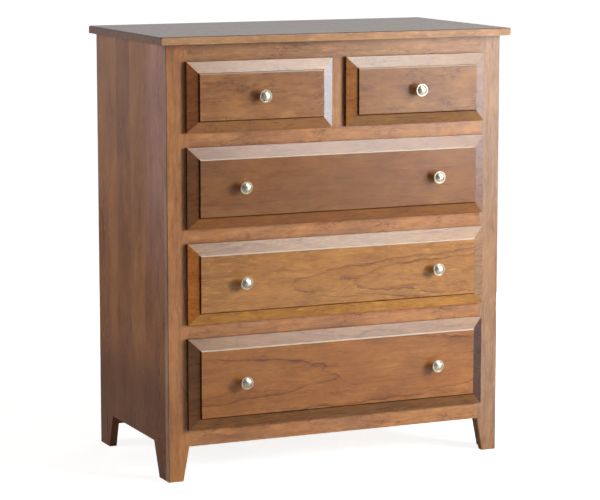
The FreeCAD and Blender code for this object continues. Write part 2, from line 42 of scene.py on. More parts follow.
RAILS = ("top_rail", "upper_drawer_rail", "middle_drawer_rail", "lower_drawer_rail", "bottom_rail")


# Nodes of a material

class Graph:
    """Nodes of one material or world, made and linked in short steps."""

    def __init__(self, owner):
        owner.use_nodes = True
        self.owner = owner
        self.tree = owner.node_tree
        self.tree.nodes.clear()

    def feed(self, socket, value):
        """Set a socket to a plain value, or link it to the output of another node."""
        if isinstance(value, bpy.types.NodeSocket):
            self.tree.links.new(value, socket)
        else:
            socket.default_value = value

    def add(self, kind, inputs=(), **settings):
        """New node; inputs pairs the name or number of a socket with what feeds it."""
        made = self.tree.nodes.new("ShaderNode" + kind)
        for name, value in settings.items():
            setattr(made, name, value)
        for socket, value in inputs:
            self.feed(made.inputs[socket], value)
        return made

    def coordinates(self, kind):
        """Place or direction of a point."""
        return self.add("TexCoord").outputs[kind]

    def split(self, vector):
        """The three parts of a vector."""
        return self.add("SeparateXYZ", ((0, vector),)).outputs

    def norm(self, vector):
        """Length of a vector."""
        return self.add("VectorMath", ((0, vector),), operation="LENGTH").outputs["Value"]

    def math(self, operation, *values):
        """Result of one sum on numbers."""
        return self.add("Math", enumerate(values), operation=operation).outputs[0]

    def vector(self, operation, *values):
        """Result of one sum on vectors."""
        return self.add("VectorMath", enumerate(values), operation=operation).outputs[0]

    def noise(self, space, stretch, detail=2.0, roughness=0.5):
        """Noise from 0 to 1 with its own number of grains per metre along each axis."""
        scaled = self.vector("MULTIPLY", space, stretch)
        inputs = (("Vector", scaled), ("Scale", 1.0), ("Detail", detail), ("Roughness", roughness))
        return self.add("TexNoise", inputs)

    def step(self, value, start, stop):
        """Smooth step from 0 at start to 1 at stop."""
        inputs = (("Value", value), ("From Min", start), ("From Max", stop))
        return self.add("MapRange", inputs, interpolation_type="SMOOTHSTEP").outputs[0]

    def ramp(self, value, stops, interpolation="LINEAR"):
        """Colour found along a row of stops."""
        made = self.add("ValToRGB", (("Fac", value),))
        made.color_ramp.interpolation = interpolation
        elements = made.color_ramp.elements
        while len(elements) < len(stops):
            elements.new(1.0)
        for element, (place, colour) in zip(elements, stops):
            element.position = place
            element.color = colour
        return made.outputs["Color"]

    def blend(self, share, first, second, kind="MIX"):
        """Two colours mixed by a share."""
        made = self.add("Mix", data_type="RGBA", blend_type=kind)
        for name, value in (("Factor", share), ("A", first), ("B", second)):
            self.feed(next(item for item in made.inputs if item.enabled and item.name == name), value)
        return next(item for item in made.outputs if item.enabled)

    def surface(self, shader):
        """Make a shader the output."""
        kind = "OutputWorld" if isinstance(self.owner, bpy.types.World) else "OutputMaterial"
        self.add(kind, (("Surface", shader),))


def srgb(red, green, blue):
    """Colour given as a screen colour from 0 to 255."""
    def linear(value):
        share = value / 255
        return share / 12.92 if share <= 0.04045 else ((share + 0.055) / 1.055) ** 2.4
    return (linear(red), linear(green), linear(blue), 1.0)


# Kinds of wood

# Each kind has its colours from dark to light, the gap between its growth rings, a ring that is plain to
# see, how fast the others fade beside it, and the width of its streaks. Shares of its signals follow: ring
# lines, streaks, flecks, pale dashes, fibres, blotches, mottle, curly figure, warmth and pin knots.
# The filters for faces that lean to the lower and the upper end of the grain, and others for faces that
# lean across it, are stain soaked into end grain, painted light and shade on the bevels of the fronts, and
# a painted sheen on the left stile's outer face. There are shares of dark colour on square end grain,
# stain there and partly painted shade at the edges of the fronts; on the broad face, painted shade; at the
# foot, painted shade darker towards the bottom; on the strip under the slab, a painted shadow; and on the
# eased edges along the grain and those at its ends, a painted dark reflection. A painted sheen is a paler,
# bluer painted reflection on the upper front of a side. A raised field has a margin, painted shade in the
# foot of its sides and a pale painted highlight on its crest. Last come the wear on edges, the depth of the
# relief, and the roughness and gloss of the lacquer
CHERRY = {
    "colours": (srgb(97, 54, 32), srgb(133, 80, 49), srgb(161, 103, 64), srgb(194, 134, 88)),
    "ring_gap": 0.011,
    "ring_peak": 0.0,
    "ring_beat": 2.4,
    "ring_depth": 0.42,
    "streak": 0.3,
    "streak_width": 0.014,
    "fleck": 0.4,
    "dash": 0.3,
    "fibre": 0.16,
    "blotch": 0.6,
    "mottle": 0.4,
    "curl": 0.1,
    "warmth": 0.6,
    "knots": 0.7,
    "end_filters": ((0.78, 0.70, 0.62), (0.78, 0.70, 0.62)),
    "cross_filters": None,
    "end_stain": 0.8,
    "face_stain": 0.0,
    "low_stain": 0.0,
    "cool_front": 0.0,
    "high_stain": 0.0,
    "corner_stain": 0.0,
    "rim_stain": 0.0,
    "field_margin": 0.0,
    "crest": 0.9,
    "wear": 0.25,
    "relief": 0.25,
    "roughness": 0.28,
    "gloss": 0.6,
}
MAPLE = CHERRY | {
    "colours": (srgb(176, 134, 92), srgb(205, 169, 126), srgb(222, 190, 148), srgb(234, 208, 170)),
    "ring_gap": 0.008,
    "ring_depth": 0.34,
    "blotch": 0.4,
    "curl": 0.06,
    "warmth": 0.3,
    "knots": 0.0,
    "dash": 0.1,
    "end_filters": ((0.92, 0.88, 0.82), (0.92, 0.88, 0.82)),
    "end_stain": 0.3,
    "wear": 0.15,
    "roughness": 0.5,
    "gloss": 0.5,
}
POPLAR = CHERRY | {
    "colours": (srgb(128, 116, 76), srgb(172, 158, 112), srgb(198, 182, 134), srgb(214, 198, 154)),
    "ring_depth": 0.4,
    "blotch": 0.7,
    "curl": 0.0,
    "warmth": 0.7,
    "knots": 0.4,
    "dash": 0.1,
    "end_filters": ((0.92, 0.88, 0.82), (0.92, 0.88, 0.82)),
    "end_stain": 0.35,
    "wear": 0.1,
    "roughness": 0.62,
    "gloss": 0.4,
}

# Grains per metre of each pattern along, across and through a board
GRAINS = {
    "swing": (7.0, 15.0, 15.0),
    "ring_fade": (7.0, 12.0, 12.0),
    "curl_line": (24.0, 60.0, 60.0),
    "curl_patch": (11.0, 22.0, 22.0),
    "curl_spot": (16.0, 44.0, 44.0),
    "mottle": (26.0, 64.0, 64.0),
    "fleck": (48.0, 360.0, 360.0),
    "fibre": (22.0, 1100.0, 1100.0),
    "blotch": (6.0, 15.0, 15.0),
    "warmth": (4.0, 11.0, 11.0),
    "pores": (55.0, 1700.0, 1700.0),
    "knots": (7.0, 17.0, 17.0),
    "dash": (42.0, 330.0, 330.0),
    "veneer_fibre": (5.0, 160.0, 160.0),
    "veneer_blotch": (3.0, 6.0, 6.0),
}
STREAKS_ALONG = 4.0

# Metres that a pattern moves along the grain for each unit of a board's seed, and at most along, across and
# through the board for each strip glued into it, and the metres that fibres swing
SEED_STEP = 1.7
STRIP_STEPS = (3.0, 0.16, 0.05)
SWING_REACH = (0.12, 0.034, 0.02)

# Growth rings: half width of a line and reach of its shadow before and behind it in metres, the shares of
# both, the flattest cut that still widens a line, and the noise over which lines fade in
RING_LINE = 0.0024
RING_SHADOW = (-0.011, 0.002)
LINE_SHARE = 0.65
SHADOW_SHARE = 0.35
LEAST_STEEPNESS = 0.05
RING_FADE = (0.25, 0.52)

# Curly figure: half width of a line in its noise, the noise of its patches and pale spots, and their share
CURL_LINE = 0.04
CURL_PATCH = (0.47, 0.6)
CURL_SPOT = (0.52, 0.7)
SPOT_SHARE = 0.5

# Bands of painted shade and highlight across the rim of a raised field, in metres outward from it, with the
# rise and the fall of each, how far a band runs on round a corner, and the share of the painted shade in
# the foot on the right side
FOOT_BAND = ((-0.0020, -0.0008), (0.0022, 0.0010))
CREST_BAND = ((-0.0036, -0.0026), (0.0006, -0.0002))
CORNER_RUN = 0.0008
RIGHT_FOOT = 0.5

# Tone: its mean, the places of the four colours along it, how much sloping faces and end grain calm it, and
# how much glued strips differ
MEAN_TONE = 0.57
TONE_PLACES = (0.0, 0.32, 0.58, 1.0)
SLOPE_CALM = 0.4
END_CALM = 0.8
STRIP_SHADE = 0.28
WARM_CAST = ((0.3, (0.94, 0.99, 1.16, 1.0)), (0.7, (1.07, 1.0, 0.82, 1.0)))

# Start and stop of smooth steps on noise
PORE_STEP = (0.62, 0.72)
DASH_STEP = (0.61, 0.71)
KNOT_STEP = (0.055, 0.015)
KNOT_CHOICE = (0.62, 0.7)

# Start and stop of smooth steps on the direction of a face
SLOPING_STEP = (0.985, 0.955)
SQUARE_STEP = (0.6, 0.95)
LEANING_STEP = (0.1, 0.3)
CORNER_STEP = (0.04, 0.2)
OUTER_STEP = (0.3, -0.1)
EDGE_STEP = (0.985, 0.85)
EDGE_REACH = 0.0014

# Stain and painted light: share of the darkest colour left in its black, shares of stain in pores and of
# painted shade in the foot of a field, the colour of the painted highlight on a crest, the heights of the
# painted shade at the foot and of the painted shadow under the slab, and the painted bluish sheen with its
# range of depths and heights
BLACK_SHARE = 0.16
PORE_STAIN = 0.3
FOOT_STAIN = 0.8
CREST_COLOUR = srgb(238, 218, 194)
SLAB_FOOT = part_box("top_panel")[0].z
LOW_HEIGHTS = (0.33, 0.19)
HIGH_HEIGHTS = (SLAB_FOOT - 0.02, SLAB_FOOT)
COOL_CAST = (1.4, 1.74, 3.1, 1.0)
COOL_DEPTHS = (-0.03, -0.15)
COOL_HEIGHTS = (0.35, 0.75)

# Finish: gain and offset of patchy wear, roughness added by streaks and pores, and the fibres' relief
PATCHY_WEAR = (1.2, -0.1)
STREAK_ROUGHNESS = 0.1
PORE_ROUGHNESS = 0.12
FIBRE_RELIEF = 0.5
BUMP_DISTANCE = 0.0002


def across_axis(grain, face):
    """Axis of a board that is neither along its grain nor through its face."""
    return next(axis for axis in "xyz" if axis not in (grain, face))


def board_space(graph, node, grain, face, inward, seed, strip=None):
    """Coordinates along, across and through a board, shifted at random for each strip glued into it."""
    low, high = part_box(node)
    origin = (low + high) / 2
    face_place = low if inward > 0 else high
    origin[AXIS_INDEX[face]] = face_place[AXIS_INDEX[face]]
    parts = graph.split(graph.vector("SUBTRACT", graph.coordinates("Object"), tuple(origin)))
    length = graph.math("ADD", parts[AXIS_INDEX[grain]], seed * SEED_STEP)
    width = parts[AXIS_INDEX[across_axis(grain, face)]]
    depth = graph.math("MULTIPLY", parts[AXIS_INDEX[face]], inward)
    shade = None
    if strip:
        number = graph.math("FLOOR", graph.math("DIVIDE", width, strip))
        draw = graph.math("ADD", number, seed)
        random = graph.add("TexWhiteNoise", (("W", draw),), noise_dimensions="1D").outputs
        shifts = graph.add("SeparateColor", ((0, random["Color"]),)).outputs
        width = graph.math("SUBTRACT", width, graph.math("MULTIPLY", number, strip))
        length, width, depth = (graph.math("MULTIPLY_ADD", shift, step, part) for shift, step, part
                                in zip(shifts, STRIP_STEPS, (length, width, depth)))
        shade = random["Value"]
    space = graph.add("CombineXYZ", ((0, length), (1, width), (2, depth))).outputs[0]
    return space, shade


def bent_space(graph, space):
    """Board coordinates that swing about a little, as the fibres of a tree do."""
    swing = graph.noise(space, GRAINS["swing"], 3.0, 0.55).outputs["Color"]
    swing = graph.vector("SUBTRACT", swing, (0.5, 0.5, 0.5))
    return graph.vector("ADD", space, graph.vector("MULTIPLY", swing, SWING_REACH))


def growth_rings(graph, space, heart, lean, seed, kind):
    """Thin dark lines where a board cuts the rings of its log, whose heart runs beside it at a slant."""
    length, width, depth = graph.split(space)
    along = graph.math("SUBTRACT", length, seed * SEED_STEP)
    sideways = graph.math("MULTIPLY_ADD", along, lean[0], graph.math("SUBTRACT", width, heart[0]))
    inside = graph.math("MULTIPLY_ADD", along, lean[1], graph.math("SUBTRACT", depth, heart[1]))
    radius = graph.norm(graph.add("CombineXYZ", ((0, sideways), (1, inside))).outputs[0])
    slanted = graph.math("MULTIPLY", inside, lean[1])
    climb = graph.norm(graph.add("CombineXYZ", ((0, sideways), (1, slanted))).outputs[0])
    steepness = graph.math("MAXIMUM", graph.math("DIVIDE", climb, radius), LEAST_STEEPNESS)
    count = graph.math("DIVIDE", radius, kind["ring_gap"])
    apart = graph.math("SUBTRACT", graph.math("FRACT", count), 0.5)
    apart = graph.math("DIVIDE", graph.math("MULTIPLY", apart, kind["ring_gap"]), steepness)
    line = graph.step(graph.math("ABSOLUTE", apart), RING_LINE, 0.0)
    before, behind = (graph.step(apart, reach, 0.0) for reach in RING_SHADOW)
    shadow = graph.math("MULTIPLY", before, behind)
    mixed = graph.math("MULTIPLY_ADD", shadow, SHADOW_SHARE, graph.math("MULTIPLY", line, LINE_SHARE))
    ring = graph.math("SUBTRACT", graph.math("FLOOR", count), kind["ring_peak"])
    beat = graph.math("COSINE", graph.math("MULTIPLY", ring, kind["ring_beat"]))
    strength = graph.math("POWER", graph.math("MULTIPLY_ADD", beat, 0.5, 0.5), 2.0)
    fade = graph.step(graph.noise(space, GRAINS["ring_fade"]).outputs[0], *RING_FADE)
    return graph.math("MULTIPLY", graph.math("MULTIPLY", mixed, strength), fade)


def curly_figure(graph, space):
    """Thin crooked dark lines in patches, with pale spots between them; dark is above 0."""
    wander = graph.noise(space, GRAINS["curl_line"], 3.0, 0.6).outputs[0]
    line = graph.step(graph.math("ABSOLUTE", graph.math("SUBTRACT", wander, 0.5)), CURL_LINE, 0.0)
    patch = graph.step(graph.noise(space, GRAINS["curl_patch"]).outputs[0], *CURL_PATCH)
    spot = graph.step(graph.noise(space, GRAINS["curl_spot"]).outputs[0], *CURL_SPOT)
    return graph.math("MULTIPLY_ADD", spot, -SPOT_SHARE, graph.math("MULTIPLY", line, patch))


def field_rim(graph, node, margin):
    """Bands along the rim of a raised field: painted shade in the foot of its sides, and a pale painted
    highlight on its crest.
    """
    low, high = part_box(node)
    place = graph.split(graph.coordinates("Object"))
    left = graph.math("SUBTRACT", low.x + margin, place[0])
    right = graph.math("SUBTRACT", place[0], high.x - margin)
    below = graph.math("SUBTRACT", low.z + margin, place[2])
    above = graph.math("SUBTRACT", place[2], high.z - margin)
    shaded = graph.math("MAXIMUM", left, below)
    outside = graph.math("MAXIMUM", shaded, graph.math("MAXIMUM", right, above))

    def band(rise, fall):
        """Band between its rise and its fall."""
        return graph.math("MULTIPLY", graph.step(outside, *rise), graph.step(outside, *fall))

    def beside(side):
        """1 along the given side of the field."""
        return graph.step(graph.math("SUBTRACT", outside, side), CORNER_RUN, 0.0)

    dark_sides = graph.math("MAXIMUM", beside(shaded), graph.math("MULTIPLY", beside(right), RIGHT_FOOT))
    foot = graph.math("MULTIPLY", band(*FOOT_BAND), dark_sides)
    crest = graph.math("MULTIPLY", band(*CREST_BAND), beside(above))
    return foot, crest


def edge_mask(graph):
    """Share of edge at a point: 1 on a sharp edge of the piece, 0 away from one."""
    round_normal = graph.add("Bevel", (("Radius", EDGE_REACH),), samples=4).outputs[0]
    true_normal = graph.add("NewGeometry").outputs["Normal"]
    match = graph.add("VectorMath", ((0, round_normal), (1, true_normal)), operation="DOT_PRODUCT")
    return graph.step(match.outputs["Value"], *EDGE_STEP)


def wood_tone(graph, kind, space, bent, rings, sloping, calm, shade):
    """Tone of a board from 0, dark, to 1, light, and the signals that it is the sum of."""
    fine = 1.0 / kind["streak_width"]
    signals = {
        "streak": graph.noise(bent, (STREAKS_ALONG, fine, fine), 3.0, 0.6).outputs[0],
        "fleck": graph.noise(bent, GRAINS["fleck"]).outputs[0],
        "fibre": graph.noise(bent, GRAINS["fibre"], 1.0).outputs[0],
        "blotch": graph.noise(space, GRAINS["blotch"], 3.0, 0.55).outputs[0],
        "mottle": graph.noise(bent, GRAINS["mottle"], 3.0, 0.6).outputs[0],
    }
    lines = graph.math("MULTIPLY", rings, kind["ring_depth"])
    lines = graph.math("MULTIPLY_ADD", curly_figure(graph, space), kind["curl"], lines)
    lines = graph.math("MULTIPLY", lines, graph.math("MULTIPLY_ADD", sloping, -SLOPE_CALM, 1.0))
    total = graph.math("SUBTRACT", MEAN_TONE, lines)
    for part, signal in signals.items():
        total = graph.math("MULTIPLY_ADD", graph.math("SUBTRACT", signal, 0.5), kind[part], total)
    if shade:
        total = graph.math("MULTIPLY_ADD", graph.math("SUBTRACT", shade, 0.5), STRIP_SHADE, total)
    total = graph.math("MULTIPLY_ADD", graph.math("SUBTRACT", total, 0.5), calm, 0.5)
    return total, signals


def wood(name, node, kind, grain, face, inward=1, seed=0.0, heart=(0.0, 0.09), lean=(0.0, 0.02),
         tint=(1.0, 1.0, 1.0), strip=None, **changes):
    """Material of one board: figure, pores and knots, stain, painted light and shade, and a satin lacquer
    over them.
    """
    kind = kind | changes
    graph = Graph(bpy.data.materials.new(name))
    colours = [tuple(part * share for part, share in zip(colour, (*tint, 1.0)))
               for colour in kind["colours"]]
    dark = colours[0]
    pale = colours[-1]
    black = tuple(part * BLACK_SHARE for part in kind["colours"][0][:3]) + (1.0,)
    across = across_axis(grain, face)
    space, shade = board_space(graph, node, grain, face, inward, seed, strip)
    bent = bent_space(graph, space)
    place = graph.split(graph.coordinates("Object"))
    facing = graph.split(graph.coordinates("Normal"))
    end = graph.math("ABSOLUTE", facing[AXIS_INDEX[grain]])
    flat = graph.math("ABSOLUTE", facing[AXIS_INDEX[face]])
    beside = graph.math("ABSOLUTE", facing[AXIS_INDEX[across]])
    sloping = graph.step(flat, *SLOPING_STEP)
    square = graph.step(end, *SQUARE_STEP)
    calm = graph.math("MULTIPLY_ADD", square, -END_CALM, 1.0)

    # Bare wood
    rings = growth_rings(graph, bent, heart, lean, seed, kind)
    tone, signals = wood_tone(graph, kind, space, bent, rings, sloping, calm, shade)
    colour = graph.ramp(tone, tuple(zip(TONE_PLACES, colours)))
    cast = graph.ramp(graph.noise(space, GRAINS["warmth"]).outputs[0], WARM_CAST)
    colour = graph.blend(kind["warmth"], colour, cast, "MULTIPLY")
    pores = graph.step(graph.noise(bent, GRAINS["pores"], 1.0).outputs[0], *PORE_STEP)
    pores = graph.math("MULTIPLY", pores, calm)
    colour = graph.blend(graph.math("MULTIPLY", pores, PORE_STAIN), colour, dark)
    if kind["knots"]:
        spread = graph.vector("MULTIPLY", space, GRAINS["knots"])
        cells = graph.add("TexVoronoi", (("Vector", spread), ("Scale", 1.0))).outputs
        chosen = graph.add("SeparateColor", ((0, cells["Color"]),)).outputs[0]
        speck = graph.math("MULTIPLY", graph.step(cells["Distance"], *KNOT_STEP),
                           graph.step(chosen, *KNOT_CHOICE))
        colour = graph.blend(graph.math("MULTIPLY", speck, kind["knots"]), colour, dark)
    dash = graph.step(graph.noise(bent, GRAINS["dash"], 1.0).outputs[0], *DASH_STEP)
    dash = graph.math("MULTIPLY", dash, calm)
    colour = graph.blend(graph.math("MULTIPLY", dash, kind["dash"]), colour, pale)

    # Stain, and painted light and shade
    # Filters by the way a face leans: stain on end grain, painted light and shade on the bevels of the
    # fronts, and a painted sheen on the left stile's outer face
    for axis, filters in ((grain, kind["end_filters"]), (across, kind["cross_filters"])):
        for direction, stain in zip((-1, 1), filters or ()):
            start, stop = (direction * limit for limit in LEANING_STEP)
            leaning = graph.step(facing[AXIS_INDEX[axis]], start, stop)
            colour = graph.blend(leaning, colour, (*stain, 1.0), "MULTIPLY")
    # Painted shade on the broad face, which darkens the slab's top
    if kind["face_stain"]:
        colour = graph.blend(graph.math("MULTIPLY", flat, kind["face_stain"]), colour, dark)
    # Painted sheen: a paler, bluer painted reflection on the upper front of a side
    if kind["cool_front"]:
        forward = graph.step(place[1], *COOL_DEPTHS)
        upper = graph.step(place[2], *COOL_HEIGHTS)
        cool = graph.math("MULTIPLY", graph.math("MULTIPLY", forward, upper), kind["cool_front"])
        colour = graph.blend(cool, colour, COOL_CAST, "MULTIPLY")
    # Painted shade darker towards the bottom, and a painted shadow on the strip under the slab
    for part, heights in (("low_stain", LOW_HEIGHTS), ("high_stain", HIGH_HEIGHTS)):
        if kind[part]:
            reached = graph.step(place[2], *heights)
            colour = graph.blend(graph.math("MULTIPLY", reached, kind[part]), colour, dark)
    # Painted dark reflection on the eased edges along the grain and at the ends
    for part, turned in (("corner_stain", beside), ("rim_stain", end)):
        if kind[part]:
            corner = graph.step(graph.math("MULTIPLY", flat, turned), *CORNER_STEP)
            colour = graph.blend(graph.math("MULTIPLY", corner, kind[part]), colour, black)
    # Near-black stain on square end grain, partly painted shade at the edges of the fronts
    colour = graph.blend(graph.math("MULTIPLY", square, kind["end_stain"]), colour, black)

    # Painted shade and highlight on the rim of a raised field, wear and lacquer
    gloss = kind["gloss"]
    if kind["field_margin"]:
        outer = graph.step(facing[AXIS_INDEX[face]], *OUTER_STEP)
        foot, crest = (graph.math("MULTIPLY", band, outer)
                       for band in field_rim(graph, node, kind["field_margin"]))
        colour = graph.blend(graph.math("MULTIPLY", foot, FOOT_STAIN), colour, black)
        colour = graph.blend(graph.math("MULTIPLY", crest, kind["crest"]), colour, CREST_COLOUR)
        # No sheen in the painted shade of the foot
        gloss = graph.math("MULTIPLY_ADD", foot, -gloss, gloss)
    patchy = graph.math("MULTIPLY_ADD", signals["blotch"], *PATCHY_WEAR)
    edge = graph.math("MULTIPLY", edge_mask(graph), patchy)
    colour = graph.blend(graph.math("MULTIPLY", edge, kind["wear"]), colour, pale)
    least_roughness = kind["roughness"] - STREAK_ROUGHNESS / 2
    roughness = graph.math("MULTIPLY_ADD", signals["streak"], STREAK_ROUGHNESS, least_roughness)
    roughness = graph.math("MULTIPLY_ADD", pores, PORE_ROUGHNESS, roughness)
    fibres = graph.math("MULTIPLY", signals["fibre"], graph.math("MULTIPLY", calm, FIBRE_RELIEF))
    relief = graph.math("SUBTRACT", fibres, pores)
    bump = graph.add("Bump", (("Height", relief), ("Strength", kind["relief"]),
                              ("Distance", BUMP_DISTANCE)))
    shader = graph.add("BsdfPrincipled", (
        ("Base Color", colour), ("Roughness", roughness), ("Normal", bump.outputs[0]),
        ("Specular IOR Level", gloss)))
    graph.surface(shader.outputs[0])
    return graph.owner


# Plywood: its colours along the tone, the thickness of a layer, the log that its veneer was cut from, its
# mean tone and the shares of its signals
VENEER_COLOURS = (srgb(160, 118, 76), srgb(198, 160, 112), srgb(220, 188, 142), srgb(232, 206, 166))
VENEER_PLACES = (0.0, 0.3, 0.6, 1.0)
LAYER_THICK = 0.0012
VENEER_HEART = (0.05, 0.35)
VENEER_LEAN = (0.02, 0.05)
VENEER_TONE = 0.42
VENEER_RINGS = 0.3
VENEER_FIBRE = 0.5
VENEER_BLOTCH = 0.6
VENEER_LAYER = -0.16


def plywood(name, node, grain, face, seed):
    """Birch plywood: pale veneer on the faces and thin crossed layers at the edges."""
    graph = Graph(bpy.data.materials.new(name))
    space = board_space(graph, node, grain, face, 1, seed)[0]
    rings = growth_rings(graph, bent_space(graph, space), VENEER_HEART, VENEER_LEAN, seed, MAPLE)
    depth = graph.split(space)[2]
    layer = graph.math("PINGPONG", graph.math("FLOOR", graph.math("DIVIDE", depth, LAYER_THICK)), 1.0)
    fibre = graph.noise(space, GRAINS["veneer_fibre"], 3.0, 0.6).outputs[0]
    blotch = graph.noise(space, GRAINS["veneer_blotch"]).outputs[0]
    total = graph.math("MULTIPLY_ADD", rings, -VENEER_RINGS, VENEER_TONE)
    for signal, weight in ((fibre, VENEER_FIBRE), (blotch, VENEER_BLOTCH), (layer, VENEER_LAYER)):
        total = graph.math("MULTIPLY_ADD", graph.math("SUBTRACT", signal, 0.5), weight, total)
    colour = graph.ramp(total, tuple(zip(VENEER_PLACES, VENEER_COLOURS)))
    roughness = graph.math("MULTIPLY_ADD", fibre, 0.12, 0.52)
    bump = graph.add("Bump", (("Height", fibre), ("Strength", 0.2), ("Distance", BUMP_DISTANCE)))
    shader = graph.add("BsdfPrincipled", (("Base Color", colour), ("Roughness", roughness),
                                          ("Normal", bump.outputs[0])))
    graph.surface(shader.outputs[0])
    return graph.owner


# Metals

SMUDGE_GRAINS = (45.0, 45.0, 45.0)
SMUDGE_ROUGHNESS = 0.16


def metal(name, colours, roughness, streak, bump_depth):
    """Metal with faint drawn streaks, smudges and uneven sheen."""
    graph = Graph(bpy.data.materials.new(name))
    space = graph.coordinates("Object")
    drawn = graph.noise(space, streak).outputs[0]
    smudge = graph.noise(space, SMUDGE_GRAINS, 3.0, 0.6).outputs[0]
    mixed = graph.math("MULTIPLY_ADD", drawn, 0.5, graph.math("MULTIPLY", smudge, 0.5))
    colour = graph.ramp(mixed, ((0.25, colours[0]), (0.75, colours[1])))
    uneven = graph.math("MULTIPLY_ADD", smudge, SMUDGE_ROUGHNESS, roughness - SMUDGE_ROUGHNESS / 2)
    bump = graph.add("Bump", (("Height", drawn), ("Strength", 0.3), ("Distance", bump_depth)))
    shader = graph.add("BsdfPrincipled", (
        ("Base Color", colour), ("Roughness", uneven), ("Metallic", 1.0), ("Normal", bump.outputs[0])))
    graph.surface(shader.outputs[0])
    return graph.owner


# Dress the boards of the carcass

def dress(node, material):
    """Give a node of the frame one material."""
    cad[node].data.materials.clear()
    cad[node].data.materials.append(material)


def soften(node, width, segments=2):
    """Ease the sharp edges of a board."""
    item = cad[node]
    weld = item.modifiers.new("weld", "WELD")
    weld.merge_threshold = 0.000002
    flat = item.modifiers.new("flat", "DECIMATE")
    flat.decimate_type = "DISSOLVE"
    flat.angle_limit = math.radians(0.5)
    edge = item.modifiers.new("edge", "BEVEL")
    edge.width = width
    edge.segments = segments
    edge.limit_method = "ANGLE"
    edge.angle_limit = math.radians(40)
    edge.use_clamp_overlap = True
    shade = item.modifiers.new("shade", "WEIGHTED_NORMAL")
    shade.keep_sharp = True


# Widths of the glued strips, and the tints of the boards
GLUED_TOP = 0.118
GLUED_SIDE = 0.098
SLAB_TINT = (1.78, 2.6, 3.4)
# Filter of the slab's ends, bluer as a painted sheen
SLAB_END = (1.0, 1.0, 1.28)
FRAME_TINT = (1.5, 1.68, 1.6)
# The top rail is tinted darker than the rest of the frame as a painted shadow under the slab
TOP_RAIL_TINT = (1.22, 1.47, 1.5)
# The two sides are one wood, tinted apart as painted light: the left lighter and bluer than the right
SIDE_TINTS = {"left": (1.57, 1.7, 1.82), "right": (1.2, 1.22, 0.95)}
# Share of the painted sheen on the upper front of each side
COOL_FRONTS = {"left": 1.0, "right": 0.0}
# The right stile is tinted bluer than the left as a painted sheen
STILE_TINTS = {"left": (1.52, 1.64, 1.46), "right": (1.21, 1.67, 2.26)}
# Filter of the left stile's outer face: a lighter, bluer painted sheen
STILE_EDGES = {"left": ((1.2, 1.7, 3.2),), "right": None}

dress("top_panel", wood("cherry_top", "top_panel", CHERRY, "x", "z", -1, seed=1.3, tint=SLAB_TINT,
                        strip=GLUED_TOP, face_stain=0.88, gloss=0.27, end_stain=0.4, fleck=0.2,
                        relief=0.05, rim_stain=0.8, end_filters=(SLAB_END, SLAB_END)))
for hand, seed, inward in (("left", 2.2, 1), ("right", 3.4, -1)):
    side = "side_panel_" + hand
    stile = "face_stile_" + hand
    dress(side, wood("cherry_" + side, side, CHERRY, "z", "x", inward, seed=seed,
                     tint=SIDE_TINTS[hand], strip=GLUED_SIDE, streak=0.4, streak_width=0.05,
                     ring_depth=0.05, fleck=0.14, fibre=0.1, blotch=0.7, mottle=0.2, low_stain=0.6,
                     cool_front=COOL_FRONTS[hand], relief=0.12))
    dress(stile, wood("cherry_" + stile, stile, CHERRY, "z", "y", seed=seed + 5.1, heart=(0.06, 0.07),
                      lean=(0.01, 0.012), tint=STILE_TINTS[hand], streak=0.5, ring_depth=0.08,
                      high_stain=0.5, corner_stain=0.75, cross_filters=STILE_EDGES[hand]))
for number, rail in enumerate(RAILS):
    tint = TOP_RAIL_TINT if rail == "top_rail" else FRAME_TINT
    dress(rail, wood("cherry_" + rail, rail, CHERRY, "x", "y", seed=number * 2.3 + 0.7,
                     heart=(0.05, 0.06), lean=(0.02, 0.01), tint=tint, curl=0.3, ring_depth=0.12,
                     warmth=1.0, high_stain=0.6))
dress("upper_muntin", wood("cherry_upper_muntin", "upper_muntin", CHERRY, "z", "y", seed=9.1,
                           tint=FRAME_TINT, ring_depth=0.2))

FIELD_MARGIN = 0.028
FRONT_ROUND = 0.0012

